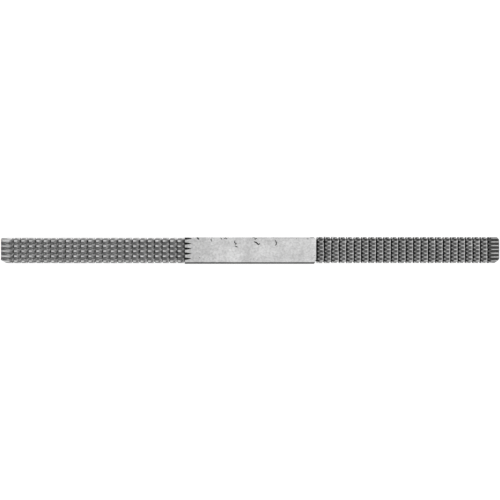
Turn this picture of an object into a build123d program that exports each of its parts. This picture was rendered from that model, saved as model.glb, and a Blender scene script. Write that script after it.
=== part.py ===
"""Double-ended thread-restoring file: one square bar of tool steel, cut on four faces at each end.

Millimetres, +X along the bar towards the fine-pitch end, +Z up. The bar lies on the bottom face of
its grip, and the origin is at the centre of that side. Each end has a different standard thread
pitch on each of its four faces: ridges of 60 degree thread form run along the bar, and gullets cross
them all round at one spacing, which leaves rows of teeth that point away from the grip. The bar is
one piece of steel, and the three nodes are its three regions: they meet at the two shoulders.
"""

import os
from dataclasses import dataclass
from math import radians, tan

from build123d import *

# Bar
INCH = 25.4
overall_length = 8.25 * INCH
grip_width = 11.2
grip_length = 55.7
stock_edge_radius = 0.7

# Teeth
thread_half_angle = radians(30)
crest_share = 0.20
root_share = 0.10
gullets_per_end = 24
gullet_spacing = 3.125
gullet_root_flat = 0.08

# Lengths beyond the last gullet at each end
coarse_end_land = 5.26
fine_end_land = overall_length - grip_length - coarse_end_land - 2 * (gullets_per_end - 1) * gullet_spacing

# Shoulders: a steep wall with V-edged wheel marks where the coarse grooves stop, a chamfer at the fine end
coarse_shoulder_run = 0.12
runout_depth = 0.9
runout_wheel_radius = 6.0
runout_rim_height = 1.2
fine_shoulder_chamfer = 1.2

half = grip_width / 2
CLEAR = 2.0
TOP, FRONT, BOTTOM, BACK = 0, 90, 180, -90


@dataclass
class Gullet:
    """A V across one face, in millimetres: the runs of its two sides are measured at the crests.

    inner_run is the side nearer the grip, and shift moves the whole row outwards.
    """

    depth: float
    inner_run: float
    outer_run: float
    shift: float = 0.0


@dataclass
class CutFace:
    """One cut face of an end. turn is its angle about +X from the top face; relief is how far its
    crests lie below the grip, and shift moves its ridges sideways. end_chamfer is a run and a drop."""

    turn: float
    threads_per_inch: float
    relief: float
    shift: float
    gullet: Gullet
    end_chamfer: tuple

    @property
    def pitch(self):
        return INCH / self.threads_per_inch

    @property
    def crest_level(self):
        return half - self.relief

    @property
    def groove_depth(self):
        flank_run = self.pitch * (1 - crest_share - root_share) / 2
        return flank_run / tan(thread_half_angle)


COARSE = [
    CutFace(TOP, 12, 0.30, -0.27, Gullet(1.15, 0.33, 1.45, 0.05), (1.0, 0.5)),
    CutFace(BACK, 11, 0.25, -0.2, Gullet(0.85, 0.45, 0.30), (0.3, 0.7)),
    CutFace(BOTTOM, 14, 0.30, 0.2, Gullet(1.15, 0.33, 1.45, 0.05), (1.0, 0.5)),
    CutFace(FRONT, 13, 0.27, -0.7, Gullet(0.80, 0.40, 0.38), (2.4, 1.4)),
]
FINE = [
    CutFace(TOP, 16, 0.15, 0.43, Gullet(1.25, 0.28, 1.35, 0.08), (0.4, 0.3)),
    CutFace(BACK, 18, 0.0, 0.54, Gullet(1.05, 0.55, 0.40, -0.35), (0.95, 1.0)),
    CutFace(BOTTOM, 24, 0.15, 0.0, Gullet(1.25, 0.28, 1.35, 0.08), (0.5, 0.3)),
    CutFace(FRONT, 20, 0.35, 0.0, Gullet(0.90, 0.48, 0.48, -0.4), (1.85, 1.65)),
]


def groove_centres(face):
    """Places across the face where a thread groove runs: midway between ridges."""
    reach = int(half / face.pitch) + 2
    places = (face.shift + (n + 0.5) * face.pitch for n in range(-reach, reach))
    return [t for t in places if abs(t) < half + face.pitch / 2]


def groove_section(face, centre):
    """One 60 degree groove as a trapezoid that opens past the crest."""
    root = face.crest_level - face.groove_depth
    half_root = face.pitch * root_share / 2
    rise = face.groove_depth + face.relief + 0.2
    half_mouth = half_root + rise * tan(thread_half_angle)
    outline = Polygon(
        (centre - half_root, root),
        (centre + half_root, root),
        (centre + half_mouth, root + rise),
        (centre - half_mouth, root + rise),
        align=None,
    )
    return outline.rotate(Axis.Z, face.turn)


def end_section(faces):
    """The ridged cross-section of one end, in Y and Z about the bar's axis."""
    section = RectangleRounded(grip_width, grip_width, stock_edge_radius)
    for face in faces:
        above = Pos(0, face.crest_level + grip_width / 2) * Rectangle(2 * grip_width, grip_width)
        section -= above.rotate(Axis.Z, face.turn)
        section -= [groove_section(face, t) for t in groove_centres(face)]
    return section


def gullet_comb(face, roots, inner_run=None):
    """Every gullet of one face as one tool: a plate clear of the crests with a V under it at each root."""
    gullet = face.gullet
    if inner_run is None:
        inner_run = gullet.inner_run
    floor = face.crest_level - gullet.depth
    plate = half + 0.3
    scale = (plate - floor) / gullet.depth
    flat = gullet_root_flat / 2
    centres = [x + gullet.shift for x in roots]
    points = [(centres[0] - CLEAR, plate + CLEAR), (centres[0] - CLEAR, plate)]
    for x in centres:
        points += [
            (x - flat - inner_run * scale, plate),
            (x - flat, floor),
            (x + flat, floor),
            (x + flat + gullet.outer_run * scale, plate),
        ]
    points += [(centres[-1] + CLEAR, plate), (centres[-1] + CLEAR, plate + CLEAR)]
    profile = Plane.XZ * Polygon(*points, align=None)
    return extrude(profile, amount=grip_width, both=True).rotate(Axis.X, face.turn)


def end_chamfer(face, tip):
    """The wedge that a face's chamfer takes off the outer end: its run along the bar, then its drop."""
    run, drop = face.end_chamfer
    level = face.crest_level
    profile = Plane.XZ * Polygon(
        (tip - run, level),
        (tip - run, level + CLEAR),
        (tip + CLEAR, level + CLEAR),
        (tip + CLEAR, level - drop),
        (tip, level - drop),
        align=None,
    )
    return extrude(profile, amount=grip_width, both=True).rotate(Axis.X, face.turn)


def cutting_end(faces, end_land):
    """One toothed end, from its shoulder at x = 0 outwards along +X."""
    span = (gullets_per_end - 1) * gullet_spacing
    tip = span + end_land
    bar = extrude(Plane.YZ * end_section(faces), amount=tip)
    roots = [gullet_spacing * n for n in range(gullets_per_end)]
    bar -= [gullet_comb(face, roots) for face in faces]
    return bar - [end_chamfer(face, tip) for face in faces]


def runout(face, centre):
    """The V-edged rim of a wheel that has run past the end of a groove into the face of the grip."""
    rim = Plane.XY * Polygon(
        (runout_wheel_radius, 0),
        (runout_wheel_radius - runout_rim_height, runout_rim_height * tan(thread_half_angle)),
        (runout_wheel_radius - runout_rim_height, -runout_rim_height * tan(thread_half_angle)),
        align=None,
    )
    wheel = revolve(rim, Axis.Y)
    return (Pos(0, centre, half - runout_depth + runout_wheel_radius) * wheel).rotate(Axis.X, face.turn)


def at_coarse_shoulder(shape):
    """Turn a shape drawn outwards along +X to face -X, with its origin at the coarse shoulder."""
    return Pos(coarse_shoulder, 0, half) * mirror(shape, about=Plane.YZ)


def at_fine_shoulder(shape):
    """Put a shape drawn outwards along +X with its origin at the fine shoulder."""
    return Pos(fine_shoulder, 0, half) * shape


def grip():
    """The plain middle, with the inner side of each shoulder gullet and the run-outs of the coarse grooves."""
    stock = extrude(
        Plane.YZ * RectangleRounded(grip_width, grip_width, stock_edge_radius), amount=grip_length
    )
    body = Pos(coarse_shoulder, 0, half) * stock
    for face in COARSE:
        body -= at_coarse_shoulder(gullet_comb(face, [0], coarse_shoulder_run))
        body -= [at_coarse_shoulder(runout(face, t)) for t in groove_centres(face)]
    for face in FINE:
        body -= at_fine_shoulder(gullet_comb(face, [0]))
    side = Polygon(
        (-fine_shoulder_chamfer, half), (0, half - fine_shoulder_chamfer), (CLEAR, half + CLEAR), align=None
    )
    for turn in (FRONT, BACK):
        wedge = extrude(Plane.XZ * side, amount=grip_width, both=True)
        body -= at_fine_shoulder(wedge.rotate(Axis.X, turn))
    return body


coarse_shoulder = -overall_length / 2 + coarse_end_land + (gullets_per_end - 1) * gullet_spacing
fine_shoulder = coarse_shoulder + grip_length

nodes = {
    "coarse_cutting_end": at_coarse_shoulder(cutting_end(COARSE, coarse_end_land)),
    "grip": grip(),
    "fine_cutting_end": at_fine_shoulder(cutting_end(FINE, fine_end_land)),
}

os.makedirs("parts", exist_ok=True)
for name, shape in nodes.items():
    shape.label = name
    export_step(shape, f"parts/{name}.step")
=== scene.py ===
import math

import bmesh
import bpy
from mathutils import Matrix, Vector, noise
from mathutils.bvhtree import BVHTree


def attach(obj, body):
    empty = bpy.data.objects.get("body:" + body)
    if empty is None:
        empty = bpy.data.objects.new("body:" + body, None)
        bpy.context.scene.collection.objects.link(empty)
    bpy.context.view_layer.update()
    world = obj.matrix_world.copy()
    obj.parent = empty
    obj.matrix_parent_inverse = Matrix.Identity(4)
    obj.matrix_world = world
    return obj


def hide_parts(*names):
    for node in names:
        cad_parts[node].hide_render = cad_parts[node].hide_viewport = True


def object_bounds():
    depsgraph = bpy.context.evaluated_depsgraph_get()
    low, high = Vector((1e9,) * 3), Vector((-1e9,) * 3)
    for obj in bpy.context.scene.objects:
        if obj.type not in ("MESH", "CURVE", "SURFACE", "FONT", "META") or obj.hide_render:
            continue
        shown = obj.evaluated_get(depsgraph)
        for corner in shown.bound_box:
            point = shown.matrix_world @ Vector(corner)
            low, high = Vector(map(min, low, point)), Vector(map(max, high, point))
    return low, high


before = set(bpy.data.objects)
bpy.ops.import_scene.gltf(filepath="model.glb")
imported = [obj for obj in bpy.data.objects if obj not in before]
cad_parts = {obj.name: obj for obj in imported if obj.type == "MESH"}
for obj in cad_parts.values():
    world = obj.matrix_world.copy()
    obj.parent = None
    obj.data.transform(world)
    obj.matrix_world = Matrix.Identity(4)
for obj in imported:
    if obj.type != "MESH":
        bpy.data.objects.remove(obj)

cad_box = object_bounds()
MM = 0.001

# The vector noise takes its offsets from the clock unless it is seeded.
noise.seed_set(5)

# As the CAD has them, in millimetres: the bar's half width and corner radius, and the gullets' spacing,
# number and flat roots.
HALF = 5.6
ROUND = 0.7
SPACING = 3.125
GULLETS = 24
ROOT_FLAT = 0.08
# The groove walls of the plain land at the tip start this far from the shoulder.
LAND_START = (GULLETS - 1) * SPACING + 1.2

# The surfaces of a tooth, as material indices.
CREST, FLANK, RAKE, SLOPE, WORN, TIP, LAND_WALL = range(7)

# Each end, in millimetres. outward is +1 or -1 along X, and crests are the crest levels about its axis.
# groove is how deep the top grooves are, and pitch and shift place the ridges of the top face. wear is
# how wide the worn round is on each kind of edge.
COARSE = {
    "outward": -1,
    "groove": 1.28,
    "pitch": 25.4 / 12,
    "shift": -0.27,
    "wear": {
        (CREST, FLANK): 0.05, (CREST, RAKE): 0.045, (CREST, SLOPE): 0.04, (FLANK, RAKE): 0.03,
        (FLANK, SLOPE): 0.10,
    },
    "crests": {"top": 5.30, "back": 5.35, "bottom": 5.30, "front": 5.33},
}
FINE = {
    "outward": 1,
    "groove": 0.96,
    "pitch": 25.4 / 16,
    "shift": 0.43,
    "wear": {
        (CREST, FLANK): 0.025, (CREST, RAKE): 0.075, (CREST, SLOPE): 0.03, (FLANK, RAKE): 0.075,
        (FLANK, SLOPE): 0.05,
    },
    "crests": {"top": 5.45, "back": 5.60, "bottom": 5.45, "front": 5.25},
}
# The worn round on any other outward edge, and how sharp an edge must be to have one.
OTHER_WEAR = 0.035
SHARP = math.radians(25)


def mm(*values):
    return Vector(values) * MM


# ---------------------------------------------------------------- materials

# Noise stays mostly between these two levels, so the colours are spread over them.
NOISE_LOW, NOISE_HIGH = 0.34, 0.66
# Ramps: one that changes nothing, the bar's faint clouds, the grip's streaks, and the strength of a patch.
EVERYWHERE = ((0.0, 1.0), (1.0, 1.0))
CLOUDS = ((0.3, 0.78), (0.7, 1.0))
STREAKS = ((0.35, 0.9), (0.65, 1.0))
UNEVEN = ((0.38, 0.7), (0.52, 1.0))
# How much noise is mixed into the depth, so that its shades have ragged edges.
RAGGED = 0.12
# Along the grip, in millimetres: where it clears up away from the coarse end, and the edge of the painted
# shadow at that shoulder.
CLEARS_UP = (-24.0, -8.0)
SHOULDER_SHADE_EDGE = (-27.38, -27.28)


def add(tree, kind, **settings):
    node = tree.nodes.new(kind)
    for key, value in settings.items():
        setattr(node, key, value)
    return node


def feed(tree, value, socket):
    """Link value if it is a socket, or set it as the default."""
    if hasattr(value, "is_linked"):
        tree.links.new(value, socket)
    elif isinstance(value, (int, float)) and socket.type == "RGBA":
        socket.default_value = (value, value, value, 1)
    else:
        socket.default_value = value


def position(tree, scale=(1000, 1000, 1000)):
    """Object coordinates in millimetres, or stretched by scale."""
    where = add(tree, "ShaderNodeTexCoord")
    mapping = add(tree, "ShaderNodeMapping")
    mapping.inputs["Scale"].default_value = scale
    feed(tree, where.outputs["Object"], mapping.inputs["Vector"])
    return mapping.outputs["Vector"]


def speckle(tree, vector, per_mm, detail=3.0, roughness=0.55):
    node = add(tree, "ShaderNodeTexNoise")
    node.inputs["Scale"].default_value = per_mm
    node.inputs["Detail"].default_value = detail
    node.inputs["Roughness"].default_value = roughness
    feed(tree, vector, node.inputs["Vector"])
    return node.outputs["Fac"]


def ramp(tree, value, *stops):
    """Grey levels at places from 0 to 1."""
    node = add(tree, "ShaderNodeValToRGB")
    elements = node.color_ramp.elements
    while len(elements) < len(stops):
        elements.new(0.5)
    for element, (place, level) in zip(elements, stops):
        element.position = place
        element.color = (level, level, level, 1)
    feed(tree, value, node.inputs["Fac"])
    return node.outputs["Color"]


def blend(tree, kind, factor, a, b):
    node = add(tree, "ShaderNodeMix", data_type="RGBA", blend_type=kind)
    feed(tree, factor, node.inputs["Factor"])
    # Inputs 6 and 7 and output 2 are the node's colour sockets.
    feed(tree, a, node.inputs[6])
    feed(tree, b, node.inputs[7])
    return node.outputs[2]


def times(tree, a, b):
    return blend(tree, "MULTIPLY", 1.0, a, b)


def between(tree, value, low, high, to_low, to_high):
    node = add(tree, "ShaderNodeMapRange")
    for name, number in (("From Min", low), ("From Max", high), ("To Min", to_low), ("To Max", to_high)):
        node.inputs[name].default_value = number
    feed(tree, value, node.inputs["Value"])
    return node.outputs["Result"]


def attribute(tree, name):
    return add(tree, "ShaderNodeAttribute", attribute_name=name).outputs["Fac"]


def share_of(tree, name):
    """The fractional part of a mesh attribute that counts gullets or ridges."""
    share = add(tree, "ShaderNodeMath", operation="FRACT")
    feed(tree, attribute(tree, name), share.inputs[0])
    return share.outputs[0]


def spotted(tree, where, colour, patches):
    """Mix each patch over the colour, unevenly: the patches are painted glints and painted shadows. A patch
    is a ramp along a tooth, a ramp over its ridge, and the grey level that it has there."""
    for way, over, level in patches:
        lengthwise = ramp(tree, share_of(tree, "along"), *way)
        crosswise = ramp(tree, share_of(tree, "ridge"), *over)
        uneven = ramp(tree, speckle(tree, where, 0.9, 2.0), *UNEVEN)
        spot = times(tree, times(tree, lengthwise, crosswise), uneven)
        colour = blend(tree, "MIX", spot, colour, level)
    return colour


def ground_off(tree, where, colour, grind):
    """Grinding streaks on the grip, which is duller near its coarse end and has a painted shadow at that
    shoulder.

    Returns the colour and the height of the streaks. grind is the scale that stretches them.
    """
    lengthwise = add(tree, "ShaderNodeSeparateXYZ")
    feed(tree, where, lengthwise.inputs["Vector"])
    cleaner = between(tree, lengthwise.outputs["X"], *CLEARS_UP, 0.85, 1.0)
    # The coarse shoulder's dark strip is painted shadow.
    shoulder_shade = between(tree, lengthwise.outputs["X"], *SHOULDER_SHADE_EDGE, 0.12, 1.0)
    colour = times(tree, times(tree, colour, cleaner), shoulder_shade)
    height = speckle(tree, position(tree, grind), 1.0, 2.0)
    return times(tree, colour, ramp(tree, height, *STREAKS)), height


def steel(name, dark, light, rough=(0.35, 0.5), metal=1.0, grain=3.0, cloud=0.25, deep=None, along=None,
          across=None, patches=(), grind=None, relief=0.01, shine=0.5):
    """Worn tool steel between two grey levels. grain and cloud are the scales of its two noises, per
    millimetre, and relief is the height of its bump, in millimetres.

    Mesh attributes vary it. deep lists (share of the groove depth, level) below the crests, along
    lists (share of the way from one gullet to the next, level), and across lists (share of the way
    over a face, level).
    """
    material = bpy.data.materials.new(name)
    material.use_nodes = True
    tree = material.node_tree
    shader = tree.nodes["Principled BSDF"]
    where = position(tree)
    fine = speckle(tree, where, grain, 4.0, 0.6)
    colour = ramp(tree, fine, (NOISE_LOW, dark), (NOISE_HIGH, light))
    wide = speckle(tree, where, cloud, 3.0)
    colour = times(tree, colour, ramp(tree, wide, *CLOUDS))
    height = fine
    if deep:
        rough_depth = blend(tree, "MIX", RAGGED, attribute(tree, "depth"), fine)
        colour = times(tree, colour, ramp(tree, rough_depth, *deep))
    if along:
        colour = times(tree, colour, ramp(tree, share_of(tree, "along"), *along))
    colour = spotted(tree, where, colour, patches)
    if across:
        colour = times(tree, colour, ramp(tree, attribute(tree, "across"), *across))
    if grind:
        colour, height = ground_off(tree, where, colour, grind)
    feed(tree, colour, shader.inputs["Base Color"])
    shader.inputs["Metallic"].default_value = metal
    shader.inputs["Specular IOR Level"].default_value = shine
    feed(tree, between(tree, fine, 0.3, 0.7, *rough), shader.inputs["Roughness"])
    bump = add(tree, "ShaderNodeBump")
    bump.inputs["Strength"].default_value = 0.6
    bump.inputs["Distance"].default_value = relief * MM
    feed(tree, height, bump.inputs["Height"])
    feed(tree, bump.outputs["Normal"], shader.inputs["Normal"])
    return material


def tooth_materials(end, bright, wall, slope, tip, last_wall, land, mouth, sink, foot, outer, patches):
    """The seven finishes of one end, in the order of the surfaces of a tooth.

    bright scales the crests, wall the groove walls and slope the slopes, whose dark level is painted
    shade. tip is the level of the end faces, and last_wall of the groove walls next to them. land is
    how the crests change from one gullet to the next, and mouth is painted light and shade on the walls,
    brightest where a gullet opens them. sink darkens the walls below the crests, painted shade with
    oxide in the grooves, and foot is painted shade that darkens the slopes below the crests. outer is
    painted shade that darkens them towards the sides. patches are the painted glints and painted
    shadows on each tooth.
    """
    # The worn rounds' ramp by depth is a painted highlight: lighter below the crests, in the groove mouths.
    dull, glint_below_crests = 0.70 * bright, ((0.0, 0.75), (0.12, 1.0))
    return [
        steel(f"{end}_crest", 0.78 * bright, 0.92 * bright, (0.30, 0.45), 1.0, 2.0, along=land),
        # The groove walls carry painted light and shade from mouth, outer and the patches, and sink darkens
        # them with painted shade and oxide.
        steel(f"{end}_flank", 0.62 * wall, wall, (0.40, 0.60), 0.6, 1.5, deep=sink, along=mouth,
              across=outer, patches=patches, shine=0.3),
        # The rakes are near black: painted shade, for the steep gullet faces stand in shadow.
        steel(f"{end}_rake", 0.01, 0.04, (0.60, 0.80), 0.8, 3.0, shine=0.2),
        # The slopes' dark level and foot are painted shade, and outer and the patches paint shade and glints
        # on them.
        steel(f"{end}_slope", slope, 1.8 * slope, (0.45, 0.65), 0.6, 3.5, deep=foot, across=outer,
              patches=patches, shine=0.3),
        # Real wear on the rounded edges, with painted glints and painted shade over it.
        steel(f"{end}_worn_edge_glint", dull, bright, (0.28, 0.40), 1.0, 1.6, deep=glint_below_crests, along=land,
              across=outer, patches=patches),
        steel(f"{end}_tip", tip, 1.4 * tip, (0.40, 0.55), 0.8, 2.5),
        # These walls too darken below the crests: painted shade with oxide.
        steel(f"{end}_land_wall", last_wall, 1.4 * last_wall, (0.40, 0.60), 0.6, 3.0, deep=sink, shine=0.3),
    ]


# ---------------------------------------------------------------- pieces

def copy_node(node):
    """A mesh that starts as the node's own, welded, with its flat faces made whole again."""
    shape = bmesh.new()
    shape.from_mesh(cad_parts[node].data)
    bmesh.ops.remove_doubles(shape, verts=shape.verts, dist=0.004 * MM)
    bmesh.ops.dissolve_limit(shape, angle_limit=math.radians(1.0), verts=shape.verts, edges=shape.edges)
    return shape


def finished(shape, name, node, materials):
    """The piece that stands for a node."""
    mesh = bpy.data.meshes.new(name)
    shape.to_mesh(mesh)
    shape.free()
    for material in materials:
        mesh.materials.append(material)
    piece = bpy.data.objects.new(name, mesh)
    bpy.context.scene.collection.objects.link(piece)
    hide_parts(node)
    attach(piece, "root")
    return piece


def baked(piece):
    """Apply the piece's modifiers."""
    bpy.context.view_layer.update()
    mesh = bpy.data.meshes.new_from_object(piece.evaluated_get(bpy.context.evaluated_depsgraph_get()))
    piece.modifiers.clear()
    piece.data = mesh


def is_sharp(edge):
    return edge.is_manifold and edge.calc_face_angle_signed(0) > SHARP


# ---------------------------------------------------------------- toothed ends

# Added to the count of ridges, so that it is never negative.
RIDGES_BEFORE = 8
# The least part of a normal that makes a face square to an axis.
SQUARE = 0.985
# A flat face this far below the crests, in millimetres, is the root of a groove or a gullet.
ROOT_DEPTH = 0.4
# How far the teeth take to bend fully out of true, in millimetres, and the size of their small nicks.
HELD = 2.0
NICK = 0.05


def owner(kind, normal):
    """Which of the bar's four cut faces a surface belongs to. A flank leans away from its own face."""
    upright = abs(normal.z) > abs(normal.y)
    if kind in (FLANK, LAND_WALL) and max(abs(normal.y), abs(normal.z)) < 0.95:
        upright = not upright
    if upright:
        return "top" if normal.z > 0 else "bottom"
    return "back" if normal.y > 0 else "front"


def depth_below(co, face, crests):
    """How far a point lies inside one face's crest plane, in millimetres."""
    y, z = co.y / MM, co.z / MM - HALF
    return crests[face] - {"top": z, "bottom": -z, "back": y, "front": -y}[face]


def share_across(co, face):
    """How far over a cut face a point lies, as a share: 0 and 1 are its two sides."""
    place = co.y / MM if face in ("top", "bottom") else co.z / MM - HALF
    return 0.5 + place / (2 * HALF)


def ridges_over(co, end):
    """How many ridges of the top face a point lies over, counted along Y. The other three faces use
    the same count, so on them it only spreads the patches."""
    return RIDGES_BEFORE + 0.5 + (co.y / MM - end["shift"]) / end["pitch"]


def tooth_kind(normal, outward):
    """Which surface of a tooth a flat face is, by how far it faces outwards along the bar.

    A rake is the steep side of a gullet, and a slope is the side that faces back to the grip.
    """
    along = normal.x * outward
    if along > SQUARE:
        return TIP
    if along > 0.75:
        return RAKE
    if along < -0.5:
        return SLOPE
    if along > 0.2:
        # A chamfer at the tip, if it isn't as steep as a rake.
        return TIP
    return CREST if max(abs(normal.y), abs(normal.z)) > SQUARE else FLANK


def name_surfaces(shape, end, shoulder):
    """Give each flat face the material of its surface."""
    for face in shape.faces:
        kind = tooth_kind(face.normal, end["outward"])
        middle = face.calc_center_median()
        sunk = depth_below(middle, owner(kind, face.normal), end["crests"])
        if kind == CREST and sunk > ROOT_DEPTH:
            places = [v.co.x / MM for v in face.verts]
            kind = RAKE if max(places) - min(places) < 2 * ROOT_FLAT else FLANK
        out = (middle.x * end["outward"] - shoulder) / MM
        face.material_index = LAND_WALL if kind == FLANK and out > LAND_START else kind


def bend_teeth(shape, end, shoulder, warp, seed):
    """Bend the teeth a little out of true, and count how many gullets each point is from the shoulder.

    warp gives the sway in millimetres at a distance from the shoulder, where there is none.
    """
    along = shape.verts.layers.float.new("along")
    for vertex in shape.verts:
        out = (vertex.co.x * end["outward"] - shoulder) / MM
        # On the land at the tip the count stops short of another gullet.
        vertex[along] = min(out / SPACING, GULLETS - 0.3)
        hold = min(1.0, out / HELD)
        sway = noise.noise_vector(vertex.co / MM * 0.45 + Vector((seed, 0, 0)))
        nick = noise.noise_vector(vertex.co / MM * 2.1 + Vector((0, seed, 0)))
        vertex.co += (sway * warp(out) + nick * NICK) * hold * MM


def mark_wear(shape, wear):
    """Weight each outward edge by its wear, as a share of the widest, for the bevel."""
    weights = shape.edges.layers.float.new("bevel_weight_edge")
    for edge in shape.edges:
        if is_sharp(edge):
            pair = tuple(sorted(face.material_index for face in edge.link_faces))
            edge[weights] = wear.get(pair, OTHER_WEAR) / max(wear.values())


def wear_down(piece, widest):
    """Round the weighted edges."""
    wear = piece.modifiers.new("wear", "BEVEL")
    wear.limit_method = "WEIGHT"
    wear.offset_type = "OFFSET"
    wear.width = widest * MM
    wear.segments = 2
    wear.use_clamp_overlap = False
    wear.material = WORN
    baked(piece)


def settle(mesh, surface, stray):
    """Put back any point that the rounding threw more than stray off the surface, in millimetres."""
    for vertex in mesh.vertices:
        nearest, normal, face, gap = surface.find_nearest(vertex.co)
        if gap > stray * MM:
            vertex.co = nearest


def measure(mesh, end):
    """Store where each corner lies on its tooth, for the materials."""
    for name in ("depth", "across", "ridge"):
        mesh.attributes.new(name, "FLOAT", "CORNER")
    depth, across, ridge = (mesh.attributes[name] for name in ("depth", "across", "ridge"))
    for polygon in mesh.polygons:
        face = owner(polygon.material_index, polygon.normal)
        for corner in polygon.loop_indices:
            co = mesh.vertices[mesh.loops[corner].vertex_index].co
            depth.data[corner].value = max(0.0, depth_below(co, face, end["crests"])) / end["groove"]
            across.data[corner].value = share_across(co, face)
            ridge.data[corner].value = ridges_over(co, end)


def toothed_end(node, name, end, materials, warp, seed):
    shape = copy_node(node)
    shoulder = min(v.co.x * end["outward"] for v in shape.verts)
    name_surfaces(shape, end, shoulder)
    bend_teeth(shape, end, shoulder, warp, seed)
    mark_wear(shape, end["wear"])
    unworn = BVHTree.FromBMesh(shape)
    piece = finished(shape, name, node, materials)
    widest = max(end["wear"].values())
    wear_down(piece, widest)
    settle(piece.data, unworn, 0.5 * widest)
    measure(piece.data, end)


# Painted light and shade: the groove walls are brightest where a gullet opens them to the light, and darken
# below the crests, with oxide there too, and towards the sides.
toothed_end(
    "coarse_cutting_end", "coarse_teeth_detail", COARSE,
    tooth_materials(
        "coarse", bright=1.08, wall=1.22, slope=0.26, tip=0.36, last_wall=0.34,
        land=((0.0, 0.55), (0.42, 0.6), (0.56, 0.95), (0.66, 1.0)),
        mouth=((0.0, 0.8), (0.06, 0.95), (0.17, 0.78), (0.35, 0.58), (0.48, 0.47), (0.85, 0.5), (0.95, 0.2)),
        sink=((0.0, 1.0), (0.5, 0.92), (0.85, 0.75), (1.0, 0.5)),
        foot=EVERYWHERE,
        outer=((0.09, 0.6), (0.12, 1.0), (0.875, 1.0), (0.90, 0.36)),
        # Patches: a painted glint at the back foot of each ridge, and painted shadow on its front side
        # beside the rake.
        patches=[
            (((0.0, 1.0), (0.18, 0.7), (0.28, 0.0), (0.95, 0.0), (1.0, 1.0)),
             ((0.52, 0.0), (0.62, 0.4), (0.74, 1.0), (0.94, 1.0), (1.0, 0.0)), 1.0),
            (((0.0, 1.0), (0.06, 0.0), (0.84, 0.0), (0.90, 1.0), (1.0, 1.0)),
             ((0.0, 0.5), (0.06, 1.0), (0.45, 1.0), (0.60, 0.0)), 0.01),
        ],
    ),
    lambda out: 0.09, 3.7,
)
# The fine end's first gullets are the most ragged.
toothed_end(
    "fine_cutting_end", "fine_teeth_detail", FINE,
    tooth_materials(
        "fine", bright=0.86, wall=1.02, slope=0.10, tip=0.16, last_wall=0.25,
        land=((0.0, 0.5), (0.40, 0.5), (0.54, 0.95), (1.0, 1.0)),
        # Painted light and shade on the groove walls, brightest where a gullet opens them.
        mouth=(
            (0.0, 0.4), (0.06, 0.6), (0.13, 1.0), (0.28, 1.0), (0.42, 0.65), (0.5, 0.5), (0.7, 0.5),
            (0.79, 0.7), (0.85, 1.1), (0.92, 1.1), (0.95, 0.5), (1.0, 0.4),
        ),
        # Below the crests the walls darken with painted shade and oxide and the slopes with painted shade;
        # outer is painted shade towards the sides.
        sink=((0.0, 1.0), (0.5, 0.88), (0.85, 0.65), (1.0, 0.4)),
        foot=((0.0, 1.0), (0.5, 0.9), (0.85, 0.65), (1.0, 0.3)),
        outer=((0.08, 0.75), (0.11, 1.0), (0.875, 1.0), (0.91, 0.55)),
        # Patches: two painted glints on each tooth, and painted shadow beside the rakes.
        patches=[
            (((0.08, 0.0), (0.14, 0.5), (0.26, 0.4), (0.36, 0.0)),
             ((0.14, 1.0), (0.24, 0.0), (0.76, 0.0), (0.86, 1.0)), 0.95),
            (((0.84, 0.0), (0.87, 0.65), (0.92, 0.65), (0.95, 0.0)), EVERYWHERE, 1.0),
            (((0.0, 1.0), (0.07, 1.0), (0.10, 0.0), (0.95, 0.0), (0.98, 1.0)), EVERYWHERE, 0.01),
        ],
    ),
    lambda out: 0.08 + 0.30 * max(0.0, 1 - out / 20), 11.3,
)


# ---------------------------------------------------------------- grip

# The surfaces of the grip, as material indices.
GROUND, SHADED_EDGE, BLACK_OXIDE, SCALE_PIT, LIT_EDGE = range(5)

# Strokes of scale in the top face, most of them near its back edge, as a width and points, in millimetres.
STROKES = [
    (0.81, [(-22.4, 5.5), (-21.9, 5.1), (-21.4, 4.6)]),
    (0.41, [(-16.0, 5.4), (-16.4, 4.6), (-16.1, 3.8)]),
    (0.38, [(-12.4, 5.4), (-12.1, 5.0), (-11.8, 4.6)]),
    (0.51, [(-10.9, 4.9), (-10.3, 5.3), (-9.6, 4.8)]),
    (0.51, [(-6.3, 4.1), (-6.5, 3.4), (-5.7, 2.7), (-6.4, 2.3)]),
    (0.46, [(-6.3, 1.9), (-5.7, 1.6), (-5.2, 1.4)]),
    (0.54, [(1.0, 5.3), (1.7, 5.5), (2.1, 4.7), (2.9, 5.2)]),
    (0.61, [(1.6, 3.7), (2.7, 3.3), (3.5, 2.5), (4.2, 2.9)]),
    (0.61, [(9.7, 5.5), (10.0, 5.4)]),
    (0.43, [(10.5, 4.4), (11.0, 3.5), (11.1, 2.7), (10.5, 2.1)]),
    (0.46, [(19.4, 5.1), (19.6, 5.0)]),
    (0.46, [(23.8, 5.0), (24.6, 4.8)]),
    (0.54, [(25.2, 5.3), (26.1, 5.5), (27.0, 5.4)]),
    (0.74, [(26.9, -2.1), (27.1, -2.2)]),
    (0.35, [(1.4, -3.5), (1.6, -3.7)]),
    (0.32, [(-21.5, -2.8), (-20.9, -3.2)]),
    (0.80, [(27.5, -4.5), (27.9, -4.2)]),
    (0.74, [(-27.2, 5.1), (-26.0, 5.08), (-24.6, 5.05)]),
]
# Scale left in the narrow ends of the wheel marks.
STROKES += [(0.42, [(-26.4, y), (-24.8, y)]) for y in (-3.45, -1.33, 0.79, 2.91)]
# A stroke's section: how many sides it has, its height and the width of its ends, as shares of its width.
RIBS = 8
FLATNESS = 0.6
END_SHARE = 0.55
# The worn round on the grip's sharp edges, in millimetres.
EDGE_ROUND = 0.05


def skin(y):
    """The height of the grip's top surface at y, its rounded long edges included."""
    over = max(0.0, abs(y) - (HALF - ROUND))
    return 2 * HALF - ROUND + math.sqrt(max(0.0, ROUND**2 - over**2))


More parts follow.
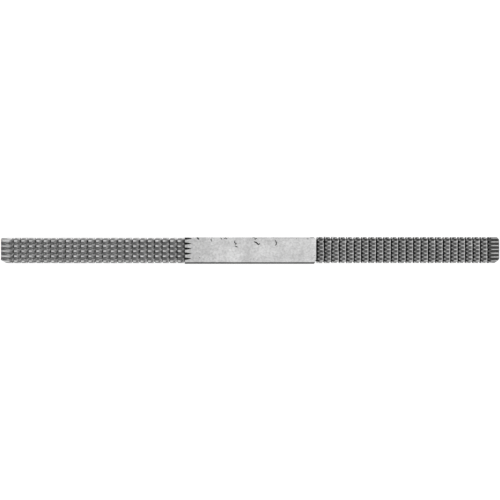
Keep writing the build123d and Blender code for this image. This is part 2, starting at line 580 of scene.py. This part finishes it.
def stroke(shape, width, points):
    """A closed worm along points that sinks a shallow hollow into the top face."""
    rings = []
    last = len(points) - 1
    for i, (x, y) in enumerate(points):
        before = Vector(points[max(i - 1, 0)])
        after = Vector(points[min(i + 1, last)])
        way = (after - before).normalized()
        side = Vector((-way.y, way.x))
        radius = width / 2 * (END_SHARE if i in (0, last) else 1.0)
        ring = []
        for k in range(RIBS):
            turn = 2 * math.pi * k / RIBS
            across = side * math.cos(turn) * radius
            rise = math.sin(turn) * radius * FLATNESS
            ring.append(shape.verts.new(mm(x + across.x, y + across.y, skin(y) + rise)))
        rings.append(ring)
    for a, b in zip(rings, rings[1:]):
        for k in range(RIBS):
            shape.faces.new((a[k], a[(k + 1) % RIBS], b[(k + 1) % RIBS], b[k]))
    shape.faces.new(rings[0][::-1])
    shape.faces.new(rings[-1])


def grip_kind(normal):
    """Which surface of the grip a face is: its long rounded edges, or what the wheels cut."""
    square = max(abs(normal.x), abs(normal.y), abs(normal.z)) > 0.995
    if square:
        return GROUND
    if abs(normal.x) >= 0.02:
        return BLACK_OXIDE
    # The long rounded edges are one finish, lit and shaded: a painted highlight on the back ones, painted
    # shade on the front ones.
    return LIT_EDGE if normal.y > 0 else SHADED_EDGE


def grip_piece():
    finishes = [
        steel("ground_grip", 0.64, 0.95, (0.30, 0.42), 1.0, 1.1, 0.12, grind=(300, 900, 900), relief=0.004),
        # The two edge finishes are one steel: painted shade on the front edges and a painted highlight on
        # the back ones.
        steel("shaded_edge", 0.04, 0.10, (0.45, 0.60), 0.8, 2.5),
        steel("black_oxide", 0.008, 0.03, (0.60, 0.80), 0.2, 3.0),
        steel("scale_pit", 0.01, 0.05, (0.60, 0.80), 0.2, 3.0),
        steel("lit_edge", 0.60, 0.80, (0.40, 0.50), 1.0, 2.0),
    ]
    shape = copy_node("grip")
    for face in shape.faces:
        face.material_index = grip_kind(face.normal)
    sharp = [edge for edge in shape.edges if is_sharp(edge)]
    bmesh.ops.bevel(
        shape, geom=sharp, offset=EDGE_ROUND * MM, offset_type="OFFSET", segments=2, profile=0.5,
        affect="EDGES", clamp_overlap=True,
    )
    return finished(shape, "grip_detail", "grip", finishes)


def cut_pits(grip):
    """Cut every stroke into the grip, and leave the colour of scale in it."""
    shape = bmesh.new()
    for width, points in STROKES:
        stroke(shape, width, points)
    bmesh.ops.recalc_face_normals(shape, faces=shape.faces)
    mesh = bpy.data.meshes.new("pit_cutters")
    shape.to_mesh(mesh)
    shape.free()
    mesh.materials.append(grip.data.materials[SCALE_PIT])
    cutters = bpy.data.objects.new("pit_cutters", mesh)
    bpy.context.scene.collection.objects.link(cutters)
    cut = grip.modifiers.new("pits", "BOOLEAN")
    cut.operation = "DIFFERENCE"
    cut.solver = "EXACT"
    cut.material_mode = "TRANSFER"
    cut.object = cutters
    baked(grip)
    bpy.data.objects.remove(cutters)


cut_pits(grip_piece())


# ---------------------------------------------------------------- stage

# In metres: the floor's half width and its gap below the bar, and the point that the lights are aimed at.
FLOOR_REACH = 3.0
FLOOR_GAP = 0.05 * MM
AIM = (0, 0, 0.006)
# The camera's height over the bar, the width that it takes in there, and its place behind the middle.
CAMERA_DISTANCE = 2.0
FIELD = 210.12 * MM
CAMERA_BACK = 0.20 * MM
SENSOR_MM = 36

low, high = cad_box
centre = (low + high) / 2


def white_sweep():
    """Pale paper that glows a little, so that it stays white under the soft lights."""
    paper = bpy.data.materials.new("white_sweep")
    paper.use_nodes = True
    shader = paper.node_tree.nodes["Principled BSDF"]
    shader.inputs["Base Color"].default_value = (0.4, 0.4, 0.4, 1)
    shader.inputs["Roughness"].default_value = 0.9
    shader.inputs["Emission Color"].default_value = (1, 1, 1, 1)
    shader.inputs["Emission Strength"].default_value = 0.82
    return paper


def lay_floor():
    mesh = bpy.data.meshes.new("floor")
    reach = FLOOR_REACH
    corners = [(-reach, -reach, 0), (reach, -reach, 0), (reach, reach, 0), (-reach, reach, 0)]
    mesh.from_pydata(corners, [], [(0, 1, 2, 3)])
    floor = bpy.data.objects.new("floor", mesh)
    floor.location.z = low.z - FLOOR_GAP
    bpy.context.scene.collection.objects.link(floor)
    mesh.materials.append(white_sweep())


def light_room(strength):
    world = bpy.data.worlds.new("studio")
    bpy.context.scene.world = world
    world.use_nodes = True
    background = world.node_tree.nodes["Background"]
    background.inputs["Color"].default_value = (1, 1, 1, 1)
    background.inputs["Strength"].default_value = strength


def area_light(name, place, size, power):
    data = bpy.data.lights.new(name, "AREA")
    data.shape = "RECTANGLE"
    data.size, data.size_y = size
    data.energy = power
    light = bpy.data.objects.new(name, data)
    light.location = place
    light.rotation_euler = (Vector(AIM) - Vector(place)).to_track_quat("-Z", "Y").to_euler()
    bpy.context.scene.collection.objects.link(light)


def place_camera():
    """Straight above the object, with its long side level."""
    data = bpy.data.cameras.new("camera")
    camera = bpy.data.objects.new("camera", data)
    bpy.context.scene.collection.objects.link(camera)
    bpy.context.scene.camera = camera
    data.sensor_width = SENSOR_MM
    data.lens = SENSOR_MM * CAMERA_DISTANCE / FIELD
    data.clip_start, data.clip_end = 0.1, 20
    camera.location = (centre.x, centre.y + CAMERA_BACK, high.z + CAMERA_DISTANCE)
    camera.rotation_euler = (0, 0, 0)


lay_floor()
light_room(0.60)
area_light("key_back", (0.1, 0.9, 0.5), (1.6, 0.8), 2.4)
area_light("overhead", (0.3, 0.0, 2.4), (1.4, 1.0), 3.0)
area_light("side_left", (-0.9, 0.0, 0.3), (1.8, 0.5), 2.0)
area_light("side_right", (0.9, 0.0, 0.3), (1.8, 0.5), 2.0)
place_camera()

bpy.context.scene.view_settings.view_transform = "Standard"
